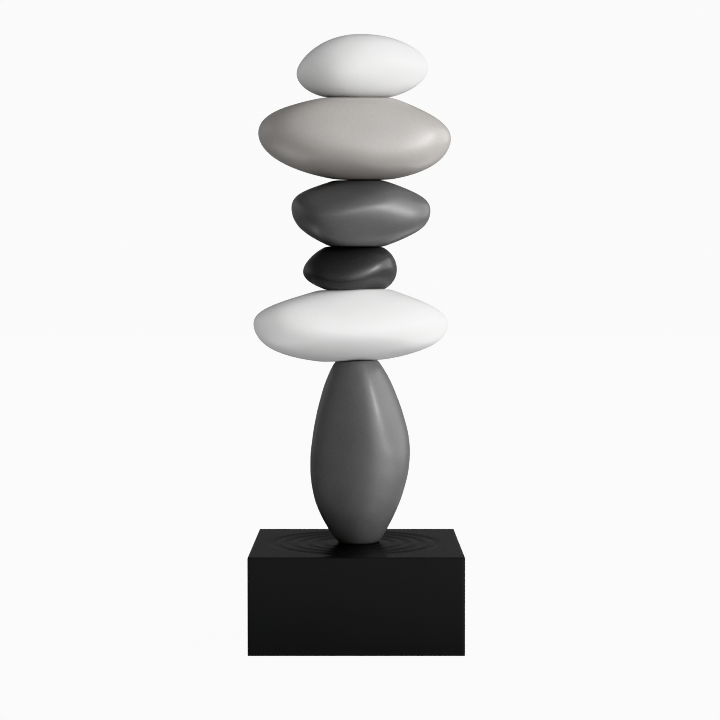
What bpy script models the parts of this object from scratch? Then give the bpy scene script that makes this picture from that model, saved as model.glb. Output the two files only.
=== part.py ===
"""A balanced stack of six smooth stones on a square black plinth.

Metres, +Z up, +X to the viewer's right, -Y towards the viewer. The origin is the centre of
the plinth's underside.

Every stone is a pebble: an ellipsoid with a few broad faces worn into it, so softly that
they run into each other without an edge. Where two stones touch, each has a small flat
seat, and the lowest stone has a flat foot.
"""
import math

import bmesh
import bpy
from mathutils import Matrix, Vector

MM = 0.001

# Driving dimensions
PLINTH_SIDE = 110 * MM
PLINTH_HEIGHT = 50 * MM
PLINTH_EDGE_ROUNDING = 0.4 * MM
PLINTH_COLOUR = (0.005, 0.005, 0.005)
PLINTH_ROUGHNESS = 0.30
TOUCHING_GAP = 0.3 * MM

RIPPLE_CENTRE = (-1.0 * MM, 0.0)
RIPPLE_FIRST_CREST = 15.0 * MM
RIPPLE_SPACING = 8.0 * MM
RIPPLE_COUNT = 4
RIPPLE_DEPTH = 0.4 * MM
RIPPLE_SIDES = 48

PEBBLE_SUBDIVISIONS = 4
SMOOTH_ANGLE = math.radians(40)
CUT_TOLERANCE = 1e-7

# A seat: its height above the ground, its middle's place across, how far its right-hand
# side leans up and how far its near side tips down, in degrees
SEAT_FOOT = (PLINTH_HEIGHT + TOUCHING_GAP / 2, 0.0, 0.0, 0.0)
SEAT_ON_TALL = (146.9 * MM, 0.0, 2.2, -2.3)
SEAT_ON_LOW_WHITE = (185.05 * MM, -1.0 * MM, 0.8, 0.0)
SEAT_ON_BLACK = (207.8 * MM, -1.0 * MM, -0.5, 1.5)
SEAT_ON_DARK_GREY = (243.0 * MM, 2.0 * MM, 0.0, 3.6)
SEAT_ON_BEIGE = (286.6 * MM, 0.0, 0.0, 6.3)

# Each stone: the centre and half sizes in millimetres, how crisp the meeting of its faces
# is, and the worn faces. A face is the way it looks, as the turn from +X towards +Y and the
# rise above level in degrees, and its distance from the centre in millimetres.
STONES = {
    "tall_grey_stone": {
        "centre": (2.2, 0.0, 97.8),
        "half_size": (32.1, 25.9, 57.4),
        "crispness": 6.1,
        "faces": [
            (0, 29, 40.9), (180, 12, 29.6), (0, -21, 30.9), (180, -34, 41.7), (244, 0, 15.6),
            (325, 12, 22.6), (302, -31, 37.4), (285, -3, 18.9), (70, 10, 24.0), (120, -6, 23.0),
        ],
        "seats": (SEAT_FOOT, SEAT_ON_TALL),
        "colour": (0.12, 0.12, 0.12),
        "roughness": 0.30,
    },
    "wide_white_stone": {
        "centre": (-3.0, 0.0, 170.0),
        "half_size": (52.6, 37.5, 41.0),
        "crispness": 6.2,
        "faces": [
            (180, 74, 19.0), (0, 71, 21.5), (180, -77, 29.5), (0, -77, 27.8), (271, 53, 20.5),
            (278, -66, 25.9), (85, 35, 28.0), (100, -38, 27.0),
        ],
        "seats": (SEAT_ON_TALL, SEAT_ON_LOW_WHITE),
        "colour": (0.84, 0.84, 0.835),
        "roughness": 0.33,
    },
    "small_black_stone": {
        "centre": (-4.7, 0.0, 195.5),
        "half_size": (28.8, 29.1, 17.4),
        "crispness": 4.3,
        "faces": [
            (180, 45, 21.3), (180, 88, 20.7), (180, -69, 15.8), (180, -96, 18.8), (266, 41, 15.0),
            (298, -41, 21.5), (327, -2, 26.7), (227, -4, 25.7), (100, -10, 21.5),
        ],
        "seats": (SEAT_ON_LOW_WHITE, SEAT_ON_BLACK),
        "colour": (0.048, 0.048, 0.048),
        "roughness": 0.30,
    },
    "dark_grey_stone": {
        "centre": (2.8, 0.0, 229.6),
        "half_size": (37.7, 32.4, 39.9),
        "crispness": 7.4,
        "faces": [
            (180, -66, 27.4), (0, -70, 24.7), (0, 70, 16.8), (180, 71, 18.0), (262, 56, 14.4),
            (290, -29, 23.6), (302, 17, 21.8), (75, 28, 24.0), (110, -30, 24.5),
        ],
        "seats": (SEAT_ON_BLACK, SEAT_ON_DARK_GREY),
        "colour": (0.119, 0.119, 0.119),
        "roughness": 0.31,
    },
    "wide_beige_stone": {
        "centre": (1.3, 0.0, 267.7),
        "half_size": (53.6, 39.5, 25.8),
        "crispness": 6.7,
        "faces": [
            (180, -72, 37.5), (0, 68, 24.9), (180, 80, 21.8), (0, -2, 59.7), (284, 17, 24.8),
            (273, -52, 32.2), (304, -2, 36.3), (263, -4, 40.3), (80, 32, 28.0), (105, -35, 29.0),
        ],
        "seats": (SEAT_ON_DARK_GREY, SEAT_ON_BEIGE),
        "colour": (0.40, 0.382, 0.367),
        "roughness": 0.31,
    },
    "top_white_stone": {
        "centre": (-2.4, 0.0, 302.7),
        "half_size": (41.1, 27.0, 18.5),
        "crispness": 5.3,
        "faces": [
            (180, 50, 21.9), (180, 79, 20.9), (180, -81, 25.0), (214, -12, 26.5), (298, 40, 27.7),
            (291, -22, 25.4), (253, 23, 22.7), (70, 20, 27.0), (118, -30, 25.0),
        ],
        "seats": (SEAT_ON_BEIGE, None),
        "colour": (0.84, 0.84, 0.835),
        "roughness": 0.33,
    },
}


def clear_scene():
    for thing in list(bpy.data.objects):
        bpy.data.objects.remove(thing, do_unlink=True)


def make_material(name, colour, roughness):
    """A Principled material of one colour, with no metal in it."""
    material = bpy.data.materials.new(name)
    material.use_nodes = True
    shader = material.node_tree.nodes["Principled BSDF"]
    shader.inputs["Base Color"].default_value = (*colour, 1.0)
    shader.inputs["Roughness"].default_value = roughness
    shader.inputs["Metallic"].default_value = 0.0
    material.diffuse_color = (*colour, 1.0)
    return material


def add_object(name, mesh_builder, colour, roughness):
    """Turns a finished bmesh into an object with its own material."""
    bmesh.ops.recalc_face_normals(mesh_builder, faces=mesh_builder.faces)
    mesh = bpy.data.meshes.new(name)
    mesh_builder.to_mesh(mesh)
    mesh_builder.free()
    mesh.shade_smooth()
    mesh.set_sharp_from_angle(angle=SMOOTH_ANGLE)
    mesh.materials.append(make_material(name, colour, roughness))
    thing = bpy.data.objects.new(name, mesh)
    bpy.context.collection.objects.link(thing)
    return thing


def direction(turn, rise):
    """The unit vector at a turn from +X towards +Y and a rise above level, in degrees."""
    turn = math.radians(turn)
    rise = math.radians(rise)
    level = math.cos(rise)
    return Vector((level * math.cos(turn), level * math.sin(turn), math.sin(rise)))


def pebble_reach(way, half_size, faces, crispness):
    """How far the pebble's surface is from its centre along a unit vector.

    The ellipsoid and the planes of the worn faces are joined by a power mean, which
    rounds every edge between them.
    """
    fullness = math.sqrt(sum((w / h) ** 2 for w, h in zip(way, half_size))) ** crispness
    for normal, distance in faces:
        fullness += (max(0.0, way.dot(normal)) / distance) ** crispness
    return fullness ** (-1.0 / crispness)


def cut_flat(mesh_builder, seat, keep_above):
    """Cuts the stone flat at a seat, half the touching gap short of the seat's plane."""
    height, across, lean, tip = seat
    tipped = Matrix.Rotation(math.radians(tip), 3, "X") @ Vector((0, 0, 1))
    normal = Matrix.Rotation(math.radians(-lean), 3, "Y") @ tipped
    side = 1 if keep_above else -1
    cut = bmesh.ops.bisect_plane(
        mesh_builder,
        geom=mesh_builder.verts[:] + mesh_builder.edges[:] + mesh_builder.faces[:],
        dist=CUT_TOLERANCE,
        plane_co=Vector((across, 0, height)) + normal * side * TOUCHING_GAP / 2,
        plane_no=normal * side,
        clear_inner=True,
    )
    rim = [part for part in cut["geom_cut"] if isinstance(part, bmesh.types.BMEdge)]
    bmesh.ops.holes_fill(mesh_builder, edges=rim, sides=0)


def make_stone(name, stone):
    half_size = Vector(stone["half_size"]) * MM
    centre = Vector(stone["centre"]) * MM
    faces = [(direction(turn, rise), distance * MM) for turn, rise, distance in stone["faces"]]

    pebble = bmesh.new()
    bmesh.ops.create_icosphere(pebble, subdivisions=PEBBLE_SUBDIVISIONS, radius=1.0)
    for vertex in pebble.verts:
        way = (vertex.co * half_size).normalized()
        vertex.co = centre + way * pebble_reach(way, half_size, faces, stone["crispness"])

    underside, crown = stone["seats"]
    cut_flat(pebble, underside, keep_above=True)
    if crown is not None:
        cut_flat(pebble, crown, keep_above=False)
    return add_object(name, pebble, stone["colour"], stone["roughness"])


def ring(mesh_builder, radius, height):
    """A ring of points round the middle of the ripples."""
    points = []
    for step in range(RIPPLE_SIDES):
        angle = 2 * math.pi * (step + 0.5) / RIPPLE_SIDES
        x = RIPPLE_CENTRE[0] + radius * math.cos(angle)
        y = RIPPLE_CENTRE[1] + radius * math.sin(angle)
        points.append(mesh_builder.verts.new((x, y, height)))
    return points


def join_rings(mesh_builder, inner, outer):
    count = len(inner)
    for step in range(count):
        after = (step + 1) % count
        mesh_builder.faces.new((inner[step], outer[step], outer[after], inner[after]))


def square_edge(side, height):
    """The corners of a square, counter-clockwise from above."""
    half = side / 2
    return [(-half, -half, height), (half, -half, height), (half, half, height), (-half, half, height)]


def make_plinth():
    """A square block with rounded edges and round ripples pressed into its top."""
    block = bmesh.new()
    rounding = PLINTH_EDGE_ROUNDING
    levels = [
        (PLINTH_SIDE - 2 * rounding, 0.0),
        (PLINTH_SIDE, rounding),
        (PLINTH_SIDE, PLINTH_HEIGHT - rounding),
        (PLINTH_SIDE - 2 * rounding, PLINTH_HEIGHT),
    ]
    loops = []
    for side, height in levels:
        loops.append([block.verts.new(corner) for corner in square_edge(side, height)])
    block.faces.new(reversed(loops[0]))
    for lower, upper in zip(loops, loops[1:]):
        join_rings(block, upper, lower)

    inner = ring(block, RIPPLE_FIRST_CREST, PLINTH_HEIGHT)
    block.faces.new(inner)
    for ripple in range(RIPPLE_COUNT):
        crest = RIPPLE_FIRST_CREST + ripple * RIPPLE_SPACING
        trough = ring(block, crest + RIPPLE_SPACING / 2, PLINTH_HEIGHT - RIPPLE_DEPTH)
        next_crest = ring(block, crest + RIPPLE_SPACING, PLINTH_HEIGHT)
        join_rings(block, inner, trough)
        join_rings(block, trough, next_crest)
        inner = next_crest

    # The flat border between the last crest and the square edge, in four fans
    quarter = RIPPLE_SIDES // 4
    corners = loops[-1]
    for side in range(4):
        # A side's fan runs from the ring's point nearest one corner to the next corner's
        start = (side * quarter - quarter // 2) % RIPPLE_SIDES
        arc = [inner[(start + step) % RIPPLE_SIDES] for step in range(quarter + 1)]
        corner = corners[(side + 1) % 4]
        next_corner = corners[(side + 2) % 4]
        middle = quarter // 2
        for step in range(quarter):
            apex = corner if step < middle else next_corner
            block.faces.new((arc[step], apex, arc[step + 1]))
        block.faces.new((arc[middle], corner, next_corner))
    return add_object("plinth", block, PLINTH_COLOUR, PLINTH_ROUGHNESS)


clear_scene()
make_plinth()
for stone_name, stone_facts in STONES.items():
    make_stone(stone_name, stone_facts)
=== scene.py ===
"""The looks of a balanced stone stack: smooth pebbles, the rippled plinth, the studio and the camera.

Metres, +Z up, +X to the viewer's right, -Y towards the viewer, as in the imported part.
"""

import math

import bmesh
import bpy
import numpy as np
from mathutils import Matrix, Vector


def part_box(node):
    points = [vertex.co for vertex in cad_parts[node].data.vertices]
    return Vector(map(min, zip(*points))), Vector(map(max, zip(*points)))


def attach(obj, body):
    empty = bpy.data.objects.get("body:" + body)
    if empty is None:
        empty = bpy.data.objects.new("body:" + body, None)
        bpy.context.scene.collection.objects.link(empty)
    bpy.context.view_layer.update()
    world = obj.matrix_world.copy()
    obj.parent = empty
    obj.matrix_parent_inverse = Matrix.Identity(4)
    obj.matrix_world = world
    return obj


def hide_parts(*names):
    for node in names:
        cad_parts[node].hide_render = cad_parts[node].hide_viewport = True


MM = 0.001

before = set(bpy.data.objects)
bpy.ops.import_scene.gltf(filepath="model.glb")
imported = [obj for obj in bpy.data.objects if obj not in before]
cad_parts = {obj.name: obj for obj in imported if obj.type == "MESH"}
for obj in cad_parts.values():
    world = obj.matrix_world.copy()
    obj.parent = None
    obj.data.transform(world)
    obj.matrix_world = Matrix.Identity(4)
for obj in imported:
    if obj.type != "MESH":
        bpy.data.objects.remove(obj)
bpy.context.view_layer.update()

# The pebbles

PEBBLE_SUBDIVISIONS = 7
# How far two stones overlap where they touch, so that no light shows between them
SEAT_OVERLAP = 0.02 * MM

# A seat: its height above the ground, its middle's place across, how far its right-hand
# side leans up and how far its near side tips down, in degrees
PLINTH_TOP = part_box("plinth")[1].z
SEAT_FOOT = (PLINTH_TOP - SEAT_OVERLAP / 2, 0.0, 0.0, 0.0)
SEAT_ON_TALL = (146.9 * MM, 0.0, 2.2, -2.3)
SEAT_ON_LOW_WHITE = (185.05 * MM, -1.0 * MM, 0.8, 0.0)
SEAT_ON_BLACK = (207.8 * MM, -1.0 * MM, -0.5, 1.5)
SEAT_ON_DARK_GREY = (243.0 * MM, 2.0 * MM, 0.0, 3.6)
SEAT_ON_BEIGE = (286.6 * MM, 0.0, 0.0, 6.3)
# How wide the worn rim of a seat is
SEAT_RIM = 0.8 * MM

# Each stone: the centre and half sizes in millimetres, how crisp the meeting of its faces
# is, and the worn faces. A face is the way it looks, as the turn from +X towards +Y and the
# rise above level in degrees, and its distance from the centre in millimetres. Then come the
# seats below and above, the finish, and a share that paints the stone's colour lighter or
# darker than others of that finish in place of the light it gets. The two white stones are lit
# and shaded copies of one white: painted light on the wide one, painted shade on the top one.
# The centres, half sizes, crispness and faces are the rounded result of a least-squares fit
# to the reference's outlines and greys, except the faces on the back, which have turns of 70
# to 120, the low white stone's half width, and the top stone's height and half height.
STONES = {
    "tall_grey_stone": {
        "centre": (2.2, 0.0, 97.8),
        "half_size": (32.1, 25.9, 57.4),
        "crispness": 6.1,
        "faces": [
            (0, 29, 40.9), (180, 12, 29.6), (0, -21, 30.9), (180, -34, 41.7), (244, 0, 15.6),
            (325, 12, 22.6), (302, -31, 37.4), (285, -3, 18.9), (70, 10, 24.0), (120, -6, 23.0),
        ],
        "seats": (SEAT_FOOT, SEAT_ON_TALL),
        "finish": "grey_stone",
        "painted_light_share": 1.0,
    },
    "wide_white_stone": {
        "centre": (-3.0, 0.0, 170.0),
        "half_size": (52.6, 37.5, 41.0),
        "crispness": 6.2,
        "faces": [
            (180, 74, 19.0), (0, 71, 21.5), (180, -77, 29.5), (0, -77, 27.8), (271, 53, 20.5),
            (278, -66, 25.9), (85, 35, 28.0), (100, -38, 27.0),
        ],
        "seats": (SEAT_ON_TALL, SEAT_ON_LOW_WHITE),
        "finish": "white_stone",
        # Painted light: this white is made lighter than its finish in place of the light it gets
        "painted_light_share": 1.11,
    },
    "small_black_stone": {
        "centre": (-4.7, 0.0, 195.5),
        "half_size": (28.8, 29.1, 17.4),
        "crispness": 4.3,
        "faces": [
            (180, 45, 21.3), (180, 88, 20.7), (180, -69, 15.8), (180, -96, 18.8), (266, 41, 15.0),
            (298, -41, 21.5), (327, -2, 26.7), (227, -4, 25.7), (100, -10, 21.5),
        ],
        "seats": (SEAT_ON_LOW_WHITE, SEAT_ON_BLACK),
        "finish": "black_stone",
        "painted_light_share": 1.0,
    },
    "dark_grey_stone": {
        "centre": (2.8, 0.0, 229.6),
        "half_size": (37.7, 32.4, 39.9),
        "crispness": 7.4,
        "faces": [
            (180, -66, 27.4), (0, -70, 24.7), (0, 70, 16.8), (180, 71, 18.0), (262, 56, 14.4),
            (290, -29, 23.6), (302, 17, 21.8), (75, 28, 24.0), (110, -30, 24.5),
        ],
        "seats": (SEAT_ON_BLACK, SEAT_ON_DARK_GREY),
        "finish": "dark_grey_stone",
        "painted_light_share": 1.0,
    },
    "wide_beige_stone": {
        "centre": (1.3, 0.0, 267.7),
        "half_size": (53.6, 39.5, 25.8),
        "crispness": 6.7,
        "faces": [
            (180, -72, 37.5), (0, 68, 24.9), (180, 80, 21.8), (0, -2, 59.7), (284, 17, 24.8),
            (273, -52, 32.2), (304, -2, 36.3), (263, -4, 40.3), (80, 32, 28.0), (105, -35, 29.0),
        ],
        "seats": (SEAT_ON_DARK_GREY, SEAT_ON_BEIGE),
        "finish": "beige_stone",
        "painted_light_share": 1.0,
    },
    "top_white_stone": {
        "centre": (-2.4, 0.0, 302.7),
        "half_size": (41.1, 27.0, 18.5),
        "crispness": 5.3,
        "faces": [
            (180, 50, 21.9), (180, 79, 20.9), (180, -81, 25.0), (214, -12, 26.5), (298, 40, 27.7),
            (291, -22, 25.4), (253, 23, 22.7), (70, 20, 27.0), (118, -30, 25.0),
        ],
        "seats": (SEAT_ON_BEIGE, None),
        "finish": "white_stone",
        # Painted shade: this white is made darker than its finish in place of the light it gets
        "painted_light_share": 0.94,
    },
}

# The wear that leaves a pebble slightly uneven: slow waves running over it every way
WEAR_WAVES = 14
WEAR_LENGTHS = (11 * MM, 34 * MM)
WEAR_DEPTH = 0.05 * MM

# A way out from the middle that doesn't face a seat counts as facing it by this little,
# which puts the seat's plane out of its reach
LEAST_FACING = 1e-6

# The plinth

PLINTH_SIDE = 110 * MM
PLINTH_EDGE_ROUNDING = 0.4 * MM
PLINTH_EDGE_STEPS = 4
PLINTH_BORDER = 2.0 * MM
PLINTH_GRID = 0.55 * MM
RIPPLE_CENTRE = (-1.0 * MM, 0.0)
RIPPLE_FIRST_CREST = 15.0 * MM
RIPPLE_SPACING = 8.0 * MM
RIPPLE_COUNT = 4
RIPPLE_DEPTH = 0.4 * MM
# An edge of the block that turns by more than this is rounded
SQUARE_EDGE = math.radians(80)
# A face of the block whose normal rises by more than this belongs to its top
LOOKS_UP = 0.9

# Each finish: colour, roughness, how strongly it is mottled and how strongly it is flecked
FINISHES = {
    "grey_stone": ((0.120, 0.120, 0.120), 0.32, 0.06, 0.035),
    "white_stone": ((0.84, 0.84, 0.835), 0.33, 0.02, 0.015),
    "black_stone": ((0.048, 0.048, 0.048), 0.30, 0.08, 0.08),
    "dark_grey_stone": ((0.119, 0.119, 0.119), 0.31, 0.06, 0.035),
    "beige_stone": ((0.400, 0.382, 0.367), 0.31, 0.035, 0.03),
}
PLINTH_COLOUR = (0.005, 0.005, 0.005)
# Roughness and how strongly it reflects
PLINTH_TOP_FINISH = (0.24, 0.5)
PLINTH_SIDE_FINISH = (0.45, 0.45)
PLINTH_MOTTLE = 0.1

# The markings' noises: features per metre and detail
STONE_CLOUDS = (40, 4)
STONE_GRAIN = (900, 3)
STONE_GLOSS = (160, 3)
PLINTH_CLOUDS = (30, 5)
PLINTH_GRAIN = (700, 3)
# The stretch of a noise's values that makes a whole change, for clouds and gloss and for flecks
NOISE_RANGE = (0.3, 0.7)
GRAIN_RANGE = (0.35, 0.65)
# How far the roughness wanders to either side
STONE_ROUGHNESS_SPREAD = 0.02
PLINTH_ROUGHNESS_SPREAD = 0.03
GRAIN_BUMP_STRENGTH = 0.3
GRAIN_BUMP_HEIGHT = 0.01 * MM
# How far the markings move from one stone to the next, in metres
MARKINGS_STEP = (0.37, 0.21)

# The studio

FLOOR_SIDE = 14.0
FLOOR_COLOUR = (0.3, 0.3, 0.3)
BACKGROUND = 2.0

# Each glow: the turn from the camera's side towards the viewer's right and the rise above
# level in degrees, how sharply it falls off around that way, and its radiance. All but the
# one overhead are the rounded result of a fit to the reference's greys.
GLOWS = {
    "wide panel on the right": (60, 8, 1.5, 0.47),
    "panel to the right of the camera": (40, 5, 9.0, 2.8),
    "panel to the left of the camera": (-32, 1, 5.0, 0.70),
    "panel on the left": (-110, 10, 18.0, 0.70),
    "wall behind on the left": (-142, 12, 9.0, 0.33),
    "wall behind on the right": (150, 4, 9.0, 0.22),
    "soft light overhead": (0, 90, 3.0, 0.15),
    "lit floor on the right": (132, -48, 18.0, 1.9),
    "lit floor on the left": (-111, -52, 18.0, 1.85),
}
# Each softbox: turn and rise as above, how wide and how high it looks from the stones in
# degrees, and its radiance. They began in the same fit and were changed afterwards.
SOFTBOXES = {
    "window": (86, 12, 80, 32, 2.3),
    "bright part of the window": (62, 12, 14, 12, 13.0),
}
SOFTBOX_DISTANCE = 3.0
LIT_POINT = Vector((0.0, 0.0, 0.19))

# The camera

CAMERA_PLACE = (1.85 * MM, -931.2 * MM, 183.2 * MM)
CAMERA_PITCH = math.radians(2.195)
CAMERA_LENS = 87.5
CAMERA_SENSOR = 36


def direction(turn, rise):
    """The unit vector at a turn from +X towards +Y and a rise above level, in degrees."""
    turn = math.radians(turn)
    rise = math.radians(rise)
    level = math.cos(rise)
    return Vector((level * math.cos(turn), level * math.sin(turn), math.sin(rise)))


def studio_direction(turn, rise):
    """The same, with the turn from the camera's side towards the viewer's right."""
    return direction(turn - 90, rise)


def add_node(tree, kind, **settings):
    node = tree.nodes.new(kind)
    for name, value in settings.items():
        setattr(node, name, value)
    return node


def map_range(tree, value, source, target):
    """Links a value through a range change and returns the socket with the result."""
    node = add_node(tree, "ShaderNodeMapRange")
    node.inputs["From Min"].default_value, node.inputs["From Max"].default_value = source
    node.inputs["To Min"].default_value, node.inputs["To Max"].default_value = target
    tree.links.new(value, node.inputs["Value"])
    return node.outputs["Result"]


def noise(tree, place, scale, detail):
    """A noise texture in object space, with its scale in features per metre."""
    node = add_node(tree, "ShaderNodeTexNoise")
    node.inputs["Scale"].default_value = scale
    node.inputs["Detail"].default_value = detail
    tree.links.new(place, node.inputs["Vector"])
    return node.outputs["Fac"]


def mix_colours(tree, factor, low, high):
    """A colour that goes from low to high with the factor."""
    node = add_node(tree, "ShaderNodeMix", data_type="RGBA")
    tree.links.new(factor, node.inputs["Factor"])
    node.inputs["A"].default_value = (*low, 1)
    node.inputs["B"].default_value = (*high, 1)
    return node.outputs["Result"]


def math_node(tree, operation, first, *others):
    """One step of arithmetic, whose inputs are sockets or numbers."""
    node = add_node(tree, "ShaderNodeMath", operation=operation)
    for socket, value in zip(node.inputs, (first, *others)):
        if isinstance(value, bpy.types.NodeSocket):
            tree.links.new(value, socket)
        else:
            socket.default_value = value
    return node.outputs["Value"]


def shaded(colour, share):
    """The colour made darker or lighter by a share."""
    return tuple(channel * share for channel in colour)


def object_place(tree, offset):
    """Object coordinates moved by an offset, so that no two stones have the same markings."""
    coordinates = add_node(tree, "ShaderNodeTexCoord")
    mapping = add_node(tree, "ShaderNodeMapping")
    mapping.inputs["Location"].default_value = offset
    tree.links.new(coordinates.outputs["Object"], mapping.inputs["Vector"])
    return mapping.outputs["Vector"]


def stone_material(name, finish, painted_light_share, offset):
    """Polished stone: slow clouds, fine grain and small flecks in one colour family."""
    colour, roughness, mottle, fleck = FINISHES[finish]
    # Painted light and shade: the colour is made lighter or darker by the stone's share in place of
    # the light it gets
    colour = shaded(colour, painted_light_share)
    material = bpy.data.materials.new(name)
    material.use_nodes = True
    tree = material.node_tree
    shader = tree.nodes["Principled BSDF"]
    place = object_place(tree, offset)

    clouds = map_range(tree, noise(tree, place, *STONE_CLOUDS), NOISE_RANGE, (0, 1))
    ground = mix_colours(tree, clouds, shaded(colour, 1 - mottle), shaded(colour, 1 + mottle))
    grain = noise(tree, place, *STONE_GRAIN)
    flecks = map_range(tree, grain, GRAIN_RANGE, (1 - fleck, 1 + fleck))
    tint = add_node(tree, "ShaderNodeVectorMath", operation="SCALE")
    tree.links.new(ground, tint.inputs[0])
    tree.links.new(flecks, tint.inputs["Scale"])
    tree.links.new(tint.outputs["Vector"], shader.inputs["Base Color"])

    rough_range = (roughness - STONE_ROUGHNESS_SPREAD, roughness + STONE_ROUGHNESS_SPREAD)
    gloss = map_range(tree, noise(tree, place, *STONE_GLOSS), NOISE_RANGE, rough_range)
    tree.links.new(gloss, shader.inputs["Roughness"])
    bump = add_node(tree, "ShaderNodeBump")
    bump.inputs["Strength"].default_value = GRAIN_BUMP_STRENGTH
    bump.inputs["Distance"].default_value = GRAIN_BUMP_HEIGHT
    tree.links.new(grain, bump.inputs["Height"])
    tree.links.new(bump.outputs["Normal"], shader.inputs["Normal"])
    return material


def plinth_material(name, roughness, reflection):
    """Black stone with a faint cloudiness; the top is finer than the honed sides."""
    material = bpy.data.materials.new(name)
    material.use_nodes = True
    tree = material.node_tree
    shader = tree.nodes["Principled BSDF"]
    place = object_place(tree, (0, 0, 0))
    clouds = map_range(tree, noise(tree, place, *PLINTH_CLOUDS), NOISE_RANGE, (0, 1))
    dark, light = shaded(PLINTH_COLOUR, 1 - PLINTH_MOTTLE), shaded(PLINTH_COLOUR, 1 + PLINTH_MOTTLE)
    tree.links.new(mix_colours(tree, clouds, dark, light), shader.inputs["Base Color"])
    rough_range = (roughness - PLINTH_ROUGHNESS_SPREAD, roughness + PLINTH_ROUGHNESS_SPREAD)
    gloss = map_range(tree, noise(tree, place, *PLINTH_GRAIN), NOISE_RANGE, rough_range)
    tree.links.new(gloss, shader.inputs["Roughness"])
    shader.inputs["Specular IOR Level"].default_value = reflection
    return material


def pebble_sphere():
    """A fine sphere of radius 1 that every pebble starts from."""
    sphere = bmesh.new()
    bmesh.ops.create_icosphere(sphere, subdivisions=PEBBLE_SUBDIVISIONS, radius=1.0)
    mesh = bpy.data.meshes.new("pebble_sphere")
    sphere.to_mesh(mesh)
    sphere.free()
    return mesh


def wear(points, seed):
    """How far the wear raises or lowers each point, as a sum of slow waves."""
    random = np.random.default_rng(seed)
    height = np.zeros(len(points))
    for _ in range(WEAR_WAVES):
        way = random.normal(size=3)
        way /= np.linalg.norm(way)
        length = random.uniform(*WEAR_LENGTHS)
        phase = random.uniform(0, 2 * math.pi)
        height += np.sin(points @ way * 2 * math.pi / length + phase)
    return height * WEAR_DEPTH / math.sqrt(WEAR_WAVES)


def soft_least(first, second, width):
    """The lesser of two lengths, with a rounded change from one to the other."""
    overlap = np.maximum(0.0, 1 - np.abs(first - second) / width)
    return np.minimum(first, second) - overlap ** 2 * width / 4


def pebble_points(sphere, stone, seed):
    """The pebble's surface: an ellipsoid and its worn faces, joined softly, flat at the seats."""
    centre = np.array(stone["centre"]) * MM
    half_size = np.array(stone["half_size"]) * MM
    crispness = stone["crispness"]
    unit = np.empty(len(sphere.vertices) * 3)
    sphere.vertices.foreach_get("co", unit)
    way = unit.reshape(-1, 3) * half_size
    way /= np.linalg.norm(way, axis=1, keepdims=True)
    fullness = np.sqrt(((way / half_size) ** 2).sum(axis=1)) ** crispness
    for turn, rise, distance in stone["faces"]:
        facing = np.maximum(0.0, way @ np.array(direction(turn, rise)))
        fullness += (facing / (distance * MM)) ** crispness
    reach = fullness ** (-1.0 / crispness)
    reach += wear(way * reach[:, None], seed)
    for seat, side in zip(stone["seats"], (-1, 1)):
        if seat is None:
            continue
        height, across, lean, tip = seat
        tipped = Matrix.Rotation(math.radians(tip), 3, "X") @ Vector((0, 0, 1))
        up = np.array(Matrix.Rotation(math.radians(-lean), 3, "Y") @ tipped)
        distance = (np.array((across, 0.0, height)) - centre) @ up * side + SEAT_OVERLAP / 2
        facing = np.maximum(LEAST_FACING, way @ up * side)
        reach = soft_least(reach, distance / facing, SEAT_RIM)
    return centre + way * reach[:, None]


def show(name, mesh, node):
    """Puts a finished mesh in the scene in place of its CAD node."""
    piece = bpy.data.objects.new(name, mesh)
    bpy.context.scene.collection.objects.link(piece)
    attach(piece, "root")
    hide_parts(node)
    return piece


def make_pebble(node, stone, sphere, seed):
    """One stone: its fine mesh, its material and its place in the part."""
    mesh = sphere.copy()
    mesh.name = node
    mesh.vertices.foreach_set("co", pebble_points(sphere, stone, seed).ravel())
    for face in mesh.polygons:
        face.use_smooth = True
    name = node.replace("stone", "pebble")
    offset = (seed * MARKINGS_STEP[0], seed * MARKINGS_STEP[1], 0)
    mesh.materials.append(stone_material(name, stone["finish"], stone["painted_light_share"], offset))
    show(name, mesh, node)


def ripple_height(x, y):
    """How far the plinth's top is pressed down: round waves about the middle."""
    radius = np.hypot(x - RIPPLE_CENTRE[0], y - RIPPLE_CENTRE[1])
    turns = (radius - RIPPLE_FIRST_CREST) / RIPPLE_SPACING
    inside = (turns > 0) & (turns < RIPPLE_COUNT)
    return np.where(inside, -RIPPLE_DEPTH * (1 - np.cos(2 * math.pi * turns)) / 2, 0.0)


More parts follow.
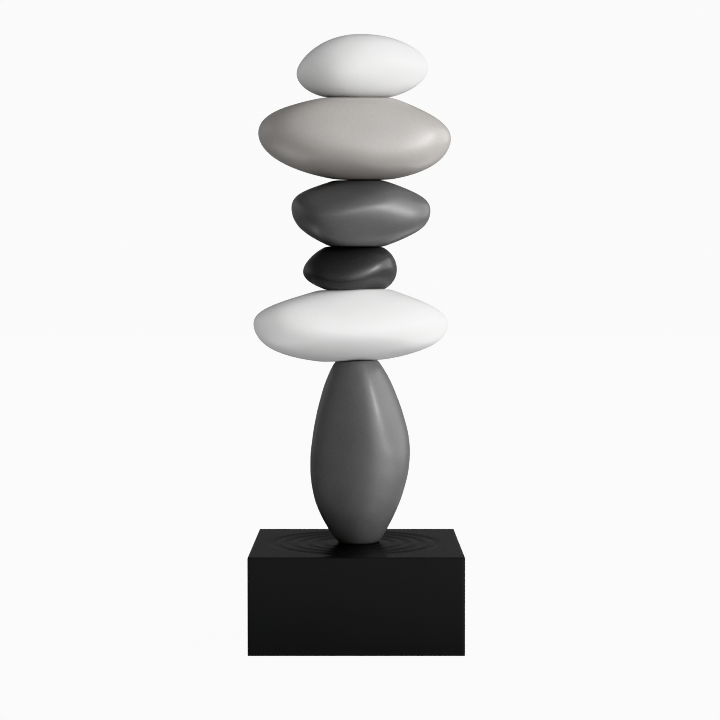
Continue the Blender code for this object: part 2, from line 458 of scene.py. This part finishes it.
def make_plinth():
    """The square block: a fine rippled top, straight sides and rounded edges."""
    half = PLINTH_SIDE / 2
    inner = half - PLINTH_BORDER
    cells = round(2 * inner / PLINTH_GRID)
    lines = np.concatenate([[-half], np.linspace(-inner, inner, cells + 1), [half]])
    x, y = np.meshgrid(lines, lines)
    z = PLINTH_TOP + ripple_height(x, y)

    block = bmesh.new()
    count = len(lines)
    points = [block.verts.new(point) for point in zip(x.ravel(), y.ravel(), z.ravel())]
    for row in range(count - 1):
        for column in range(count - 1):
            first = row * count + column
            cell = (first, first + 1, first + count + 1, first + count)
            block.faces.new([points[corner] for corner in cell])
    rim = [edge for edge in block.edges if edge.is_boundary]
    sides = bmesh.ops.extrude_edge_only(block, edges=rim)["geom"]
    for part in sides:
        if isinstance(part, bmesh.types.BMVert):
            part.co.z = 0.0
    foot = [edge for edge in block.edges if edge.is_boundary]
    bmesh.ops.holes_fill(block, edges=foot, sides=0)
    bmesh.ops.recalc_face_normals(block, faces=block.faces)
    block.normal_update()
    square = [edge for edge in block.edges if edge.calc_face_angle() > SQUARE_EDGE]
    bmesh.ops.bevel(
        block, geom=square, offset=PLINTH_EDGE_ROUNDING, offset_type="OFFSET",
        segments=PLINTH_EDGE_STEPS, profile=0.5, affect="EDGES", clamp_overlap=False,
    )
    for face in block.faces:
        face.smooth = True
        face.material_index = 0 if face.normal.z > LOOKS_UP else 1
    mesh = bpy.data.meshes.new("rippled_plinth")
    block.to_mesh(mesh)
    block.free()
    mesh.materials.append(plinth_material("plinth_top", *PLINTH_TOP_FINISH))
    mesh.materials.append(plinth_material("plinth_sides", *PLINTH_SIDE_FINISH))
    show("rippled_plinth", mesh, "plinth")


def make_floor():
    """A plain white floor, as bright as the background."""
    mesh = bpy.data.meshes.new("floor")
    half = FLOOR_SIDE / 2
    outline = [(-half, -half, 0), (half, -half, 0), (half, half, 0), (-half, half, 0)]
    mesh.from_pydata(outline, [], [(0, 1, 2, 3)])
    floor = bpy.data.objects.new("floor", mesh)
    bpy.context.scene.collection.objects.link(floor)
    material = bpy.data.materials.new("floor")
    material.use_nodes = True
    shader = material.node_tree.nodes["Principled BSDF"]
    shader.inputs["Base Color"].default_value = (*FLOOR_COLOUR, 1)
    shader.inputs["Roughness"].default_value = 1.0
    shader.inputs["Specular IOR Level"].default_value = 0.0
    shader.inputs["Emission Color"].default_value = (1, 1, 1, 1)
    shader.inputs["Emission Strength"].default_value = BACKGROUND
    mesh.materials.append(material)
    floor.visible_diffuse = False
    floor.visible_glossy = False
    floor.visible_shadow = False


def make_world():
    """White where the camera looks; a dim surround with soft glows in it lights the stones."""
    world = bpy.data.worlds.new("studio")
    bpy.context.scene.world = world
    world.use_nodes = True
    tree = world.node_tree
    coordinates = add_node(tree, "ShaderNodeTexCoord")
    total = None
    for turn, rise, sharpness, radiance in GLOWS.values():
        # radiance * exp(sharpness * (cosine - 1)) of the angle from the glow's middle
        cosine = add_node(tree, "ShaderNodeVectorMath", operation="DOT_PRODUCT")
        cosine.inputs[1].default_value = studio_direction(turn, rise)
        tree.links.new(coordinates.outputs["Generated"], cosine.inputs[0])
        fall = math_node(tree, "MULTIPLY_ADD", cosine.outputs["Value"], sharpness, -sharpness)
        glow = math_node(tree, "MULTIPLY", math_node(tree, "EXPONENT", fall), radiance)
        total = glow if total is None else math_node(tree, "ADD", total, glow)
    seen = add_node(tree, "ShaderNodeLightPath")
    strength = add_node(tree, "ShaderNodeMix", data_type="FLOAT")
    tree.links.new(seen.outputs["Is Camera Ray"], strength.inputs["Factor"])
    tree.links.new(total, strength.inputs["A"])
    strength.inputs["B"].default_value = BACKGROUND
    background = tree.nodes["Background"]
    background.inputs["Color"].default_value = (1, 1, 1, 1)
    tree.links.new(strength.outputs["Result"], background.inputs["Strength"])


def make_softbox(name, turn, rise, width, height, radiance):
    """A soft light that faces the stones; its sizes are given as angles seen from them."""
    light = bpy.data.lights.new(name, "AREA")
    light.shape = "RECTANGLE"
    light.size = 2 * SOFTBOX_DISTANCE * math.tan(math.radians(width) / 2)
    light.size_y = 2 * SOFTBOX_DISTANCE * math.tan(math.radians(height) / 2)
    light.energy = radiance * math.pi * light.size * light.size_y
    box = bpy.data.objects.new(name, light)
    bpy.context.scene.collection.objects.link(box)
    away = studio_direction(turn, rise)
    box.location = LIT_POINT + away * SOFTBOX_DISTANCE
    box.rotation_euler = away.to_track_quat("Z", "Y").to_euler()
    box.visible_camera = False


def make_camera():
    """The camera at the reference's viewing angle, looking slightly down."""
    data = bpy.data.cameras.new("camera")
    data.lens = CAMERA_LENS
    data.sensor_width = CAMERA_SENSOR
    camera = bpy.data.objects.new("camera", data)
    bpy.context.scene.collection.objects.link(camera)
    camera.location = CAMERA_PLACE
    camera.rotation_euler = (math.pi / 2 - CAMERA_PITCH, 0, 0)
    bpy.context.scene.camera = camera


sphere = pebble_sphere()
for seed, (node, stone) in enumerate(STONES.items()):
    make_pebble(node, stone, sphere, seed)
make_plinth()
make_floor()
make_world()
for name, facts in SOFTBOXES.items():
    make_softbox(name, *facts)
make_camera()
bpy.context.scene.view_settings.view_transform = "Khronos PBR Neutral"
